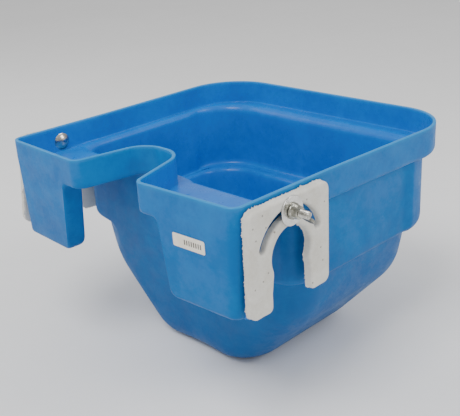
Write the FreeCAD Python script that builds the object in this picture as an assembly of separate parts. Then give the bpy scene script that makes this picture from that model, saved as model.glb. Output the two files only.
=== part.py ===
"""Hook-over feed trough: a moulded tub with two swinging rail clamps on its sides.

The tub hangs over a fence rail. Its front tray reaches across the rail and ends in two hollow legs,
so the rail lies in the channel between the legs and the tub's front wall. A flat clamp plate on each
side swings about the rail's centre line and is locked by a coach bolt, a washer and a wing nut.

Millimetres, +Z up, +Y from the front (rail side) to the back, X across. The base stands on Z = 0,
the middle of the whole object is on X = 0, and the tub's front and back are evenly about Y = 0.
Sizes named ..._DROP are measured down from the rim, and sizes named ..._Y back from the front.
"""
import FreeCAD
import Part

import math
import os

from FreeCAD import Vector

# Tub: overall sizes
HEIGHT = 261.0            # base to rim
DEPTH = 378.0             # front to back at the rim
HALF_FRONT = 181.5        # half the width over the front part of the rim
HALF_BACK = 189.0         # half the width where the sides would meet the back
WALL = 4.0                # thickness of the moulding

# Tub: outline of the rim
FRONT_SETBACK = 6.0       # how far the front corners lie behind the notch's corners
STRAIGHT_SIDE_Y = 140.0   # the sides are parallel up to here, where the clamp plates lie on them
FRONT_CORNER_R = 12.0
SIDE_BEND_R = 600.0
BACK_CORNER_R = 70.0

# Tub: notch in the middle of the front
NOTCH_MOUTH_HALF = 50.0
NOTCH_END_HALF = 28.0
NOTCH_DEPTH = 87.0
NOTCH_END_SHIFT = -7.0    # the notch's end lies this far from the middle, to the left
NOTCH_MOUTH_R = 12.0
NOTCH_END_R = 30.0

# Tub: tray, legs and rail channel
SADDLE_DROP = 34.0        # underside of the tray, which rests on the rail
FRONT_WALL_Y = 96.0       # outer face of the wall behind the rail
LEG_DROP = 117.0          # feet of the legs
LEG_THICK = 28.0          # front to back
LEG_INNER_HALF = 79.0     # inner sides of the legs, where they leave the tray
LEG_INNER_TAPER = 9.0     # how far those sides lean outwards to the feet
LEG_OUTER_TAPER = 6.0     # how far the outer sides lean inwards to the feet
LEG_FRONT_TAPER = 2.5     # how far the front faces lean back to the feet
LEG_EDGE_R = 5.0
LEG_TOE = 6.0             # bevel round the feet

# Tub: upper tier of the body, inside the tray's rim
BODY_SIDE_STEP = 11.0     # ledge from the rim band to the upper tier, at the sides
BODY_BACK_STEP = 22.0     # the same, at the back
BODY_DROP = 122.0         # bottom of the upper tier
BODY_FRONT_R = 18.0
BODY_BACK_R = 60.0

# Tub: bowl under the upper tier
BOWL_SIDE_STEP = 4.0      # ledge from the upper tier to the bowl, at the sides
BOWL_BACK_STEP = 18.0     # the same, at the back
BOWL_CORNER_R = 52.0
KNEE_DROP = 172.0         # where the steep wall of the bowl turns into the slope
KNEE_SIDE_STEP = 8.0
KNEE_FRONT_STEP = 4.0
KNEE_BACK_STEP = 5.0
KNEE_WALL_RISE = 0.4      # the hollow's knee lies this share of the wall above the outer one
BASE_HALF = 88.0          # half width of the bowl, just above the base's round
BASE_FRONT_Y = 107.0
BASE_BACK_Y = 310.0
BASE_CORNER_R = 48.0
BASE_ROUND = 34.0         # radius of the round between the slope and the base
BASE_ROUND_START = 45.0   # degrees: the slope's lean, where the round begins
BASE_ROUND_STEPS = 3

# Clamp plates
PLATE_THICK = 9.0
PLATE_FRONT = 58.0        # from the rail's centre to the plate's front edge
PLATE_BACK = 57.0         # from the rail's centre to the plate's back edge
PLATE_TOP_DROP = 5.0
PLATE_BOTTOM_DROP = 114.0
PLATE_CORNER_R = 9.0
RAIL_Y = 71.5             # centre of the rail and of the plates' turning
OPENING_R = 27.5          # a 48.3 mm rail lies in it against its top
OPENING_NECK_HALF = 25.2
OPENING_MOUTH_HALF = 27.5
SLOT_RADIUS = 42.5        # centre line of the curved slot
SLOT_HALF_ANGLE = 68.0    # degrees, from the slot's middle to the centre of each end
SLOT_CLEARANCE = 0.5      # round the bolt in the slot

# Hardware
BOLT_D = 8.0
BOLT_DROP = 19.0
BOLT_LENGTH = 35.0        # under the head
BOLT_HEAD_D = 20.6
BOLT_HEAD_HEIGHT = 4.6
BOLT_TIP_BEVEL = 0.9
NECK_CLEARANCE = 0.1      # round the square neck in the tub's square hole
WASHER_D = 30.0
WASHER_THICK = 1.5
WASHER_CLEARANCE = 0.2    # round the bolt in the washer
NUT_BASE_D = 16.4
NUT_TOP_D = 12.6
NUT_HEIGHT = 9.0
NUT_CLEARANCE = 0.05      # round the bolt in the nut
WING_SPAN = 36.0
WING_HEIGHT = 17.0
WING_THICK = 3.0
WING_ROOT_RISE = 1.5      # foot of each ear above the nut's base
WING_TIP_RISE = 9.4       # lower corner of each ear's tip above the nut's base
WING_TIP_LENGTH = 8.0     # straight top of each ear
WING_TIP_R = 3.5
WING_ROOT_R = 0.5
WING_TILT = 45.0          # degrees: how far the upper ear leans forward from upright
LEFT_PLATE_SWING = 6.0    # degrees: the left plate hangs with its back leg this much lower
LEFT_NUT_TURN = 35.0      # degrees: the left nut is turned on from the right one's mirror image
FACE_GAP = 0.3            # between faces of pieces that move on each other

# Label on the right leg
LABEL_WIDTH = 42.0
LABEL_HEIGHT = 14.0
LABEL_THICK = 0.2
LABEL_X = 121.0
LABEL_DROP = 48.0

FRONT = -DEPTH / 2
BACK = DEPTH / 2
RIM = HEIGHT
SADDLE = RIM - SADDLE_DROP
PIVOT = Vector(0, FRONT + RAIL_Y, RIM - BOLT_DROP - SLOT_RADIUS)
BOLT = PIVOT + Vector(0, 0, SLOT_RADIUS)
PLATE_INNER_X = HALF_FRONT + FACE_GAP
WASHER_X = PLATE_INNER_X + PLATE_THICK + FACE_GAP
NUT_X = WASHER_X + WASHER_THICK + FACE_GAP


def rounded_wire(corners, z):
    """Closed outline at height z through corners (x, y, radius), each rounded by its radius."""
    edges = []
    last_end = None
    count = len(corners)
    for i in range(count + 1):
        x, y, radius = corners[i % count]
        here = Vector(x, y, z)
        before = Vector(corners[i % count - 1][0], corners[i % count - 1][1], z) - here
        after = Vector(corners[(i + 1) % count][0], corners[(i + 1) % count][1], z) - here
        before.normalize()
        after.normalize()
        half_angle = before.getAngle(after) / 2
        middle = (before + after).normalize()
        reach = radius / math.tan(half_angle)
        start = here + before * reach
        top = here + middle * (radius / math.sin(half_angle) - radius)
        end = here + after * reach
        if last_end is not None:
            edges.append(Part.LineSegment(last_end, start).toShape())
        if i < count:
            edges.append(Part.Arc(start, top, end).toShape())
        last_end = end
    return Part.Wire(edges)


def inset(corners, distance):
    """The same outline, moved inwards by a distance; corners run anticlockwise."""
    count = len(corners)
    moved = []
    for i in range(count):
        x, y, radius = corners[i]
        here = Vector(x, y, 0)
        along_in = here - Vector(corners[i - 1][0], corners[i - 1][1], 0)
        along_out = Vector(corners[(i + 1) % count][0], corners[(i + 1) % count][1], 0) - here
        along_in.normalize()
        along_out.normalize()
        inward_in = Vector(-along_in.y, along_in.x, 0)
        inward_out = Vector(-along_out.y, along_out.x, 0)
        middle = inward_in + inward_out
        spot = here + middle * (2 * distance / middle.dot(middle))
        turn = along_in.x * along_out.y - along_in.y * along_out.x
        moved.append((spot.x, spot.y, radius - distance if turn > 0 else radius + distance))
    return moved


def mirrored(right_half):
    """Anticlockwise outline from its corners with X above 0, listed from the front to the back."""
    return right_half + [(-x, y, radius) for x, y, radius in reversed(right_half)]


def prism(corners, z_low, z_high):
    """Straight block between two heights."""
    return Part.Face(rounded_wire(corners, z_low)).extrude(Vector(0, 0, z_high - z_low))


def loft(sections):
    """Solid through (corners, height) sections, with straight walls from each to the next."""
    return Part.makeLoft([rounded_wire(corners, z) for corners, z in sections], True, True)


def rim_outline():
    """Outline of the rim band, with the notch in its front."""
    end_y = FRONT + NOTCH_DEPTH
    right_end = (NOTCH_END_SHIFT + NOTCH_END_HALF, end_y, NOTCH_END_R)
    left_end = (NOTCH_END_SHIFT - NOTCH_END_HALF, end_y, NOTCH_END_R)
    round_the_tub = mirrored([
        (NOTCH_MOUTH_HALF, FRONT, NOTCH_MOUTH_R),
        (HALF_FRONT, FRONT + FRONT_SETBACK, FRONT_CORNER_R),
        (HALF_FRONT, FRONT + STRAIGHT_SIDE_Y, SIDE_BEND_R),
        (HALF_BACK, BACK, BACK_CORNER_R),
    ])
    return [right_end] + round_the_tub + [left_end]


def body_outline():
    """Outline of the upper tier."""
    return mirrored([
        (HALF_FRONT - BODY_SIDE_STEP, FRONT + FRONT_WALL_Y, BODY_FRONT_R),
        (HALF_BACK - BODY_SIDE_STEP, BACK - BODY_BACK_STEP, BODY_BACK_R),
    ])


def bowl_outline(side_step, front_step, back_step):
    """Outline of the bowl's steep wall, stepped in from the upper tier."""
    return mirrored([
        (HALF_FRONT - BODY_SIDE_STEP - side_step, FRONT + FRONT_WALL_Y + front_step, BOWL_CORNER_R),
        (HALF_FRONT - BODY_SIDE_STEP - side_step, BACK - BODY_BACK_STEP - back_step, BOWL_CORNER_R),
    ])


def base_outline():
    """Outline of the bowl just above the round of its base."""
    return mirrored([
        (BASE_HALF, FRONT + BASE_FRONT_Y, BASE_CORNER_R),
        (BASE_HALF, FRONT + BASE_BACK_Y, BASE_CORNER_R),
    ])


def front_face_y(x, z):
    """Y of a leg's front face, which leans back from the tray to the foot."""
    setback = FRONT_SETBACK * (abs(x) - NOTCH_MOUTH_HALF) / (HALF_FRONT - NOTCH_MOUTH_HALF)
    lean = LEG_FRONT_TAPER * (SADDLE - z) / (LEG_DROP - SADDLE_DROP)
    return FRONT + setback + lean


def leg_outline(z):
    """Outline of the right leg at height z."""
    share = (SADDLE - z) / (LEG_DROP - SADDLE_DROP)
    inner = LEG_INNER_HALF + LEG_INNER_TAPER * share
    outer = HALF_FRONT - LEG_OUTER_TAPER * share
    back = FRONT + LEG_THICK
    return [
        (inner, front_face_y(inner, z), LEG_EDGE_R),
        (outer, front_face_y(outer, z), FRONT_CORNER_R),
        (outer, back, LEG_EDGE_R),
        (inner, back, LEG_EDGE_R),
    ]


def across(shape):
    """The shape's mirror image on the other side of X = 0."""
    return shape.mirror(Vector(0, 0, 0), Vector(1, 0, 0))


def bowl(wall):
    """Bowl with its rounded base; wall is 0 for the outer form and the thickness for the hollow."""
    rise = KNEE_WALL_RISE * wall
    knee = bowl_outline(BOWL_SIDE_STEP + KNEE_SIDE_STEP, KNEE_FRONT_STEP, BOWL_BACK_STEP + KNEE_BACK_STEP)
    sections = [
        (inset(bowl_outline(BOWL_SIDE_STEP, 0, BOWL_BACK_STEP), wall), RIM - BODY_DROP + wall),
        (inset(knee, wall), RIM - KNEE_DROP + rise),
    ]
    base = base_outline()
    start = math.radians(BASE_ROUND_START)
    for step in range(BASE_ROUND_STEPS + 1):
        angle = start + (math.pi / 2 - start) * step / BASE_ROUND_STEPS
        inwards = BASE_ROUND * (math.cos(start) - math.cos(angle)) + wall * math.cos(angle)
        height = BASE_ROUND * (1 - math.sin(angle)) + wall * math.sin(angle)
        sections.append((inset(base, inwards), height))
    return loft(sections)


def tub_outside():
    """Outer form of the tub, without its hollow."""
    band = prism(rim_outline(), SADDLE, RIM)
    body = prism(body_outline(), RIM - BODY_DROP, SADDLE)
    foot = RIM - LEG_DROP
    leg = loft([
        (leg_outline(SADDLE), SADDLE),
        (leg_outline(foot + LEG_TOE), foot + LEG_TOE),
        (inset(leg_outline(foot), LEG_TOE / 2), foot),
    ])
    return band.multiFuse([body, bowl(0), leg, across(leg)])


def tub_inside():
    """Hollow of the tub, one wall inside its outer form."""
    floor = SADDLE + WALL
    tray = prism(inset(rim_outline(), WALL), floor, RIM + WALL)
    body = prism(inset(body_outline(), WALL), RIM - BODY_DROP + WALL, floor)
    foot = RIM - LEG_DROP
    pocket = loft([
        (inset(leg_outline(SADDLE), WALL), floor),
        (inset(leg_outline(foot), WALL), foot + WALL),
    ])
    return tray.multiFuse([body, bowl(WALL), pocket, across(pocket)])


def square_hole():
    """Square hole for the right bolt's neck."""
    size = BOLT_D + 2 * NECK_CLEARANCE
    corner = Vector(HALF_FRONT - 2 * WALL, BOLT.y - size / 2, BOLT.z - size / 2)
    return Part.makeBox(3 * WALL, size, size, corner)


def turn_about(shape, centre, angle):
    """Turn the shape about the line along X through the centre; a positive angle lifts its back edge."""
    shape.rotate(centre, Vector(1, 0, 0), angle)


def tub_shell():
    """The moulded tub: tray, legs, upper tier and bowl in one piece."""
    hole = square_hole()
    shell = tub_outside().cut(tub_inside()).cut(hole).cut(across(hole))
    return shell.removeSplitter().Solids[0]


def clamp_plate():
    """Right clamp plate, with its rail opening and curved bolt slot."""
    top = RIM - PLATE_TOP_DROP - PIVOT.z
    bottom = RIM - PLATE_BOTTOM_DROP - PIVOT.z
    board = prism([
        (-PLATE_FRONT, bottom, PLATE_CORNER_R),
        (PLATE_BACK, bottom, PLATE_CORNER_R),
        (PLATE_BACK, top, PLATE_CORNER_R),
        (-PLATE_FRONT, top, PLATE_CORNER_R),
    ], 0, PLATE_THICK)
    opening = Part.makeCylinder(OPENING_R, PLATE_THICK)
    neck_z = -math.sqrt(OPENING_R ** 2 - OPENING_NECK_HALF ** 2)
    overrun = bottom - PLATE_CORNER_R
    mouth = Part.Face(Part.makePolygon([
        Vector(-OPENING_NECK_HALF, neck_z, 0),
        Vector(-OPENING_MOUTH_HALF, bottom, 0),
        Vector(-OPENING_MOUTH_HALF, overrun, 0),
        Vector(OPENING_MOUTH_HALF, overrun, 0),
        Vector(OPENING_MOUTH_HALF, bottom, 0),
        Vector(OPENING_NECK_HALF, neck_z, 0),
        Vector(-OPENING_NECK_HALF, neck_z, 0),
    ])).extrude(Vector(0, 0, PLATE_THICK))
    flat = board.cut(opening.fuse(mouth)).cut(curved_slot())
    return stand_outward(flat, PLATE_INNER_X, PIVOT)


def curved_slot():
    """Slot round the rail's centre, cut with a round end at each limit of the plate's swing."""
    half_width = BOLT_D / 2 + SLOT_CLEARANCE
    low = 90 - SLOT_HALF_ANGLE
    high = 90 + SLOT_HALF_ANGLE
    outer = Part.makeCylinder(SLOT_RADIUS + half_width, PLATE_THICK, Vector(), Vector(0, 0, 1), high - low)
    inner = Part.makeCylinder(SLOT_RADIUS - half_width, PLATE_THICK)
    ring = outer.cut(inner)
    ring.rotate(Vector(), Vector(0, 0, 1), low)
    ends = []
    for angle in (low, high):
        turn = math.radians(angle)
        spot = Vector(SLOT_RADIUS * math.cos(turn), SLOT_RADIUS * math.sin(turn), 0)
        ends.append(Part.makeCylinder(half_width, PLATE_THICK, spot))
    return ring.multiFuse(ends)


def stand_outward(shape, x, centre):
    """Turn a shape built on +Z so that it points along +X, with its own X to +Y and its own Y to +Z."""
    turned = shape.copy()
    turned.rotate(Vector(), Vector(1, 1, 1), 120)
    turned.translate(Vector(x, centre.y, centre.z))
    return turned


def carriage_bolt():
    """Right coach bolt: domed head inside the tub, square neck in the wall, plain shank outwards."""
    rise = BOLT_HEAD_HEIGHT
    rim_r = BOLT_HEAD_D / 2
    dome_r = (rim_r ** 2 + rise ** 2) / (2 * rise)
    dome = Part.makeSphere(dome_r, Vector(0, 0, dome_r - rise))
    head = dome.common(Part.makeCylinder(rim_r, rise, Vector(0, 0, -rise)))
    neck = Part.makeBox(BOLT_D, BOLT_D, WALL, Vector(-BOLT_D / 2, -BOLT_D / 2, 0))
    shank = Part.makeCylinder(BOLT_D / 2, BOLT_LENGTH - BOLT_TIP_BEVEL)
    tip = Part.makeCone(BOLT_D / 2, BOLT_D / 2 - BOLT_TIP_BEVEL, BOLT_TIP_BEVEL,
                        Vector(0, 0, BOLT_LENGTH - BOLT_TIP_BEVEL))
    bolt = head.multiFuse([neck, shank, tip]).removeSplitter()
    return stand_outward(bolt, HALF_FRONT - WALL, BOLT)


def washer():
    """Right washer, wide enough to bridge the curved slot."""
    disc = Part.makeCylinder(WASHER_D / 2, WASHER_THICK)
    hole = Part.makeCylinder(BOLT_D / 2 + WASHER_CLEARANCE, WASHER_THICK)
    return stand_outward(disc.cut(hole), WASHER_X, BOLT)


def wing_nut():
    """Right wing nut: tapered hub with two ears that stand up and down."""
    hub = Part.makeCone(NUT_BASE_D / 2, NUT_TOP_D / 2, NUT_HEIGHT)
    span = WING_SPAN / 2
    root = NUT_TOP_D / 4
    ear_corners = [
        (root, WING_ROOT_RISE, WING_ROOT_R),
        (NUT_BASE_D / 2, WING_ROOT_RISE, WING_ROOT_R),
        (span, WING_TIP_RISE, WING_TIP_R),
        (span, WING_HEIGHT, WING_TIP_R),
        (span - WING_TIP_LENGTH, WING_HEIGHT, WING_TIP_R),
        (root, NUT_HEIGHT - WING_ROOT_RISE, WING_ROOT_R),
    ]
    ear = prism(ear_corners, -WING_THICK / 2, WING_THICK / 2)
    ear.rotate(Vector(), Vector(1, 0, 0), 90)
    other_ear = ear.copy()
    other_ear.rotate(Vector(), Vector(0, 0, 1), 180)
    bore = Part.makeCylinder(BOLT_D / 2 + NUT_CLEARANCE, WING_HEIGHT)
    nut = hub.multiFuse([ear, other_ear]).cut(bore)
    nut.rotate(Vector(), Vector(0, 0, 1), 90 + WING_TILT)
    return stand_outward(nut, NUT_X, BOLT)


def size_label():
    """Blank label stuck on the right leg."""
    corners = []
    for side, rise in ((-1, -1), (1, -1), (1, 1), (-1, 1), (-1, -1)):
        x = LABEL_X + side * LABEL_WIDTH / 2
        z = RIM - LABEL_DROP + rise * LABEL_HEIGHT / 2
        corners.append(Vector(x, front_face_y(x, z), z))
    return Part.Face(Part.makePolygon(corners)).extrude(Vector(0, -LABEL_THICK, 0))


def main():
    """Write every piece to its own file."""
    pieces = {
        "tub_shell": tub_shell(),
        "size_label": size_label(),
    }
    for name, make in (("clamp_plate", clamp_plate), ("carriage_bolt", carriage_bolt),
                       ("washer", washer), ("wing_nut", wing_nut)):
        right = make()
        pieces[name + "_right"] = right
        pieces[name + "_left"] = across(right)
    turn_about(pieces["clamp_plate_left"], PIVOT, -LEFT_PLATE_SWING)
    turn_about(pieces["wing_nut_left"], BOLT, LEFT_NUT_TURN)
    os.makedirs("parts", exist_ok=True)
    for name, shape in pieces.items():
        shape.exportStep(f"parts/{name}.step")
        box = shape.BoundBox
        print(f"{name}: {len(shape.Solids)} solid, valid {shape.isValid()}, {shape.Volume / 1000:.1f} cm3, "
              f"X {box.XMin:.1f}..{box.XMax:.1f} Y {box.YMin:.1f}..{box.YMax:.1f} "
              f"Z {box.ZMin:.1f}..{box.ZMax:.1f}")


main()
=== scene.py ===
"""Looks of the hook-over feed trough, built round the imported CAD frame.

The tub is one thin skin: columns run down its outside from the rim to the middle of the base, and the
same skin, moved in by the wall's thickness, is its inside. Lengths in this file are millimetres until
a mesh is made. MM turns them into Blender's metres.
"""

import math

import bpy
import bmesh
import numpy as np
from mathutils import Matrix, Vector, geometry


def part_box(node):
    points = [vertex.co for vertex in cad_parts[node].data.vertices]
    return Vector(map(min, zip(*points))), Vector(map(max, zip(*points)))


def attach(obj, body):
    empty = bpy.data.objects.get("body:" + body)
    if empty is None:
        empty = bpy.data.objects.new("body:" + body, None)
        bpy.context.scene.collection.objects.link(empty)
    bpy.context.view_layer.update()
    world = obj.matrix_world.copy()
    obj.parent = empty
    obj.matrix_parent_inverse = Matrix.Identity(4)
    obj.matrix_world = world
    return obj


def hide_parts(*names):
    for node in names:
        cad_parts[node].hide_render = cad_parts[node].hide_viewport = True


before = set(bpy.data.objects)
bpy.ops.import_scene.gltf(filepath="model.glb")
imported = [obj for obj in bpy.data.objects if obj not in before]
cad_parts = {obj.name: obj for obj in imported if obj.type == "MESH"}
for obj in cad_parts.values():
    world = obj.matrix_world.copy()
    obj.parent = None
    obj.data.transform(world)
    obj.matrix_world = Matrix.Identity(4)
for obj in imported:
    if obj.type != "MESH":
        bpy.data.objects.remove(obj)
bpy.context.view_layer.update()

MM = 0.001


def node_box(node):
    """Lowest and highest corner of a CAD node, in millimetres."""
    low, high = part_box(node)
    return np.array(low) / MM, np.array(high) / MM


# ---- sizes

tub_high = node_box("tub_shell")[1]
plate_low, plate_high = node_box("clamp_plate_right")
washer_low, washer_high = node_box("washer_right")
nut_low = node_box("wing_nut_right")[0]
bolt_low, bolt_high = node_box("carriage_bolt_right")
label_low, label_high = node_box("size_label")

RIM = tub_high[2]
FRONT = -189.0
WALL = 4.0
HALF_FRONT = 181.5
HALF_BACK = 189.0
DEPTH = tub_high[1] - FRONT
NOTCH_DEPTH = 87.0
NOTCH_MOUTH_HALF = 50.0
NOTCH_END_HALF = 28.0
NOTCH_END_SHIFT = -7.0
NOTCH_END_R = 30.0
NOTCH_MOUTH_R = 12.0
FRONT_SETBACK = 6.0
FRONT_CORNER_R = 12.0
STRAIGHT_SIDE = 140.0
SIDE_BEND_R = 600.0
BACK_CORNER_R = 70.0
RIM_ROUNDING = 1.2
SADDLE = RIM - 34.0
LEG_FOOT = RIM - 117.0
LEG_THICK = 28.0
LEG_INNER_TOP = 79.0
LEG_INNER_FOOT = 88.0
LEG_LEAN_START = 96.0
LEG_SIDE_LEAN = 6.0
LEG_FRONT_LEAN = 2.5
LEG_EDGE_R = 5.0
BODY_FRONT = 96.0
BODY_BOTTOM = RIM - 122.0
KNEE = RIM - 172.0
BASE_MIDDLE = 205.0

# Rings of the tub: half width at the front and the back, front, back, front and back corner radius
BODY_RING = (HALF_FRONT - 11, HALF_BACK - 11, BODY_FRONT, DEPTH - 22, 18, 60)
BOWL_RING = (166.5, 166.5, BODY_FRONT, DEPTH - 40, 52, 52)
KNEE_RING = (158.5, 158.5, BODY_FRONT + 4, DEPTH - 45, 52, 52)
BASE_RING = (78, 78, BODY_FRONT + 15.5, 306, 40, 40)

BOLT_Y = (bolt_low[1] + bolt_high[1]) / 2
BOLT_Z = (bolt_low[2] + bolt_high[2]) / 2
SLOT_RADIUS = 42.5
PIVOT_Z = BOLT_Z - SLOT_RADIUS
SLOT_HALF_ANGLE = 68.0
OPENING_R = 27.5
OPENING_NECK = 25.2
OPENING_MOUTH = 27.5
SLOT_HALF_WIDTH = 4.5
PLATE_CORNER_R = 9.0
CUT_SPACING = 0.8
LEFT_PLATE_SWING = 6.0
WING_TILT = {"right": 45.0, "left": 80.0}
THREAD_PITCH = 1.25


# ---- mesh helpers

def make_object(name, points, faces, smooth=True):
    """A mesh object at the origin from points in millimetres and faces as index rows."""
    mesh = bpy.data.meshes.new(name)
    mesh.from_pydata((np.asarray(points) * MM).tolist(), [], faces)
    mesh.update()
    mesh.polygons.foreach_set("use_smooth", [smooth] * len(mesh.polygons))
    made = bpy.data.objects.new(name, mesh)
    bpy.context.scene.collection.objects.link(made)
    return made


def weld(points, faces, grain=0.002):
    """Points that share a place become one, and faces left with no area go."""
    keys = np.round(points / grain).astype(np.int64)
    _, first, back = np.unique(keys, axis=0, return_index=True, return_inverse=True)
    back = back.reshape(-1)
    kept = points[first]
    out = []
    for row in back[np.asarray(faces)]:
        ring = [a for a, b in zip(row, np.roll(row, 1)) if a != b]
        if len(set(ring)) < 3:
            continue
        corner = kept[ring]
        area = np.linalg.norm(sum(np.cross(corner[k] - corner[0], corner[k + 1] - corner[0])
                                  for k in range(1, len(ring) - 1)))
        if area > 1e-4:
            out.append([int(v) for v in ring])
    return kept, out, back


def strip_faces(rows, columns, closed=False, offset=0):
    """Quads between neighbouring rows of a rows x columns grid of points."""
    index = np.arange(rows * columns).reshape(rows, columns) + offset
    right = np.roll(index, -1, axis=1)
    end = columns if closed else columns - 1
    quads = np.stack([index[:-1, :end], right[:-1, :end], right[1:, :end], index[1:, :end]], axis=-1)
    return quads.reshape(-1, 4)


def bezier_turn(start, corner, end, count):
    """Rounded corner: the quadratic curve (1-t)^2 start + 2t(1-t) corner + t^2 end."""
    t = np.linspace(0, 1, count).reshape(-1, 1, 1)
    return (1 - t) ** 2 * start + 2 * t * (1 - t) * corner + t ** 2 * end


def rounded_columns(stations, cuts, runs, turns):
    """Columns through stations (K, n, 3), rounded at each inner station by a curve of length cuts (K, n).

    A run of straight points leads to each corner's curve. Where two corners want more of a run than
    its length, both shrink in step."""
    stations = np.asarray(stations, float)
    cuts = np.asarray(cuts, float).copy()
    lengths = np.linalg.norm(np.diff(stations, axis=0), axis=2)
    wanted = cuts[:-1] + cuts[1:]
    fit = np.minimum(1, 0.98 * lengths / np.maximum(wanted, 1e-9))
    scale = np.ones_like(cuts)
    scale[:-1] = np.minimum(scale[:-1], fit)
    scale[1:] = np.minimum(scale[1:], fit)
    cuts *= scale
    direction = np.diff(stations, axis=0) / np.maximum(lengths, 1e-9)[..., None]
    rows = []
    last = stations[0]
    for k in range(1, len(stations)):
        is_end = k == len(stations) - 1
        start = stations[k] if is_end else stations[k] - direction[k - 1] * cuts[k][:, None]
        t = np.linspace(0, 1, runs[k - 1] + 1)[1 if rows else 0:].reshape(-1, 1, 1)
        rows.append(last + t * (start - last))
        if not is_end:
            end = stations[k] + direction[k] * cuts[k][:, None]
            rows.append(bezier_turn(start, stations[k], end, turns[k - 1])[1:])
            last = end
    return np.concatenate(rows)


def waves(points, size, seed, terms=9):
    """Smooth uneven value from -1 to 1 at each point: a mean of sines in fixed odd directions."""
    chance = np.random.default_rng(seed)
    total = np.zeros(len(points))
    for _ in range(terms):
        way = chance.normal(size=3)
        way /= np.linalg.norm(way)
        length = size * chance.uniform(0.6, 1.6)
        total += np.sin(points @ way * (2 * math.pi / length) + chance.uniform(0, 2 * math.pi))
    return total / terms * 1.6


# ---- tub

def rounded_line(corners, lines, arcs):
    """Open path through corners (x, y, radius): straight runs with lines[k] points, then arcs[k] points.

    Each arc is tangent to both of its runs; the first and last corners are plain ends."""
    spots = np.array([corner[:2] for corner in corners], float)
    path = []
    last = spots[0]
    for k in range(1, len(corners)):
        here = spots[k]
        if k == len(corners) - 1:
            t = np.linspace(0, 1, lines[k - 1])[:, None]
            path.append(last + t * (here - last))
            break
        back = (spots[k - 1] - here) / np.linalg.norm(spots[k - 1] - here)
        ahead = (spots[k + 1] - here) / np.linalg.norm(spots[k + 1] - here)
        half = math.acos(np.clip(back @ ahead, -1, 1)) / 2
        radius = corners[k][2]
        reach = radius / math.tan(half)
        middle = (back + ahead) / np.linalg.norm(back + ahead)
        centre = here + middle * radius / math.sin(half)
        start = here + back * reach
        end = here + ahead * reach
        t = np.linspace(0, 1, lines[k - 1], endpoint=False)[:, None]
        path.append(last + t * (start - last))
        from_angle = math.atan2(*(start - centre)[::-1])
        turn = (math.atan2(*(end - centre)[::-1]) - from_angle + math.pi) % (2 * math.pi) - math.pi
        angle = from_angle + turn * np.linspace(0, 1, arcs[k - 1], endpoint=False)
        path.append(centre + radius * np.stack([np.cos(angle), np.sin(angle)], axis=1))
        last = end
    return path


def box_ring(half_front, half_back, front, back, r_front, r_back, u):
    """Point on the right half of a rounded four-sided outline.

    u 0-1 runs along the front from the middle, 1-2 round the front corner, 2-3 along the side,
    3-4 round the back corner and 4-5 along the back to the middle."""
    slope = math.atan2(half_back - half_front, back - front)
    front_reach = r_front * math.tan((math.pi / 2 + slope) / 2)
    back_reach = r_back * math.tan((math.pi / 2 - slope) / 2)
    along = np.array([math.sin(slope), math.cos(slope)])
    corner_f = np.array([half_front, front])
    corner_b = np.array([half_back, back])
    ends = [
        (np.array([0, front]), corner_f - np.array([front_reach, 0])),
        (corner_f + along * front_reach, corner_b - along * back_reach),
        (corner_b - np.array([back_reach, 0]), np.array([0, back])),
    ]
    u = np.asarray(u, float)
    t = np.clip(u - np.floor(np.minimum(u, 4.999999)), 0, 1)[:, None]
    part = np.minimum(u, 4.999999).astype(int)
    centre_f = corner_f + np.array([-front_reach, r_front])
    centre_b = corner_b + np.array([-back_reach, -r_back])
    angle_f = -math.pi / 2 + t[:, 0] * (math.pi / 2 - slope)
    angle_b = -slope + t[:, 0] * (math.pi / 2 + slope)
    arc_f = centre_f + r_front * np.stack([np.cos(angle_f), np.sin(angle_f)], axis=1)
    arc_b = centre_b + r_back * np.stack([np.cos(angle_b), np.sin(angle_b)], axis=1)
    front_run, side_run, back_run = (start + t * (end - start) for start, end in ends)
    out = np.zeros((len(u), 2))
    for k, choice in enumerate((front_run, arc_f, side_run, arc_b, back_run)):
        out = np.where((part == k)[:, None], choice, out)
    return out


def leg_side(counts):
    """Inner side of a leg seen from the front: x and drop below the saddle.

    A hollow curve leaves the saddle, a leaning side goes down and a round curve turns onto the foot."""
    drop = SADDLE - LEG_FOOT
    top = np.array([LEG_INNER_TOP, 0.0])
    toe = np.array([LEG_INNER_FOOT, drop])
    lean = (toe - top) / np.linalg.norm(toe - top)
    flat = np.array([1.0, 0.0])
    pieces = [
        bezier_turn(top - flat * 10, top, top + lean * 10, counts[0])[:, 0],
        bezier_turn(top + lean * 10, (top + toe) / 2, toe - lean * 8, counts[1])[1:-1, 0],
        bezier_turn(toe - lean * 8, toe, toe + flat * 8, counts[2])[:, 0],
    ]
    return np.concatenate(pieces)


def nearest_places(points, ring_sizes):
    """For each point of one ring, the place u on another ring nearest to it, never going back."""
    fine = np.linspace(0, 5, 5001)
    gaps = np.linalg.norm(points[:, None] - box_ring(*ring_sizes, fine)[None], axis=2)
    return np.maximum.accumulate(fine[np.argmin(gaps, axis=1)])


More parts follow.
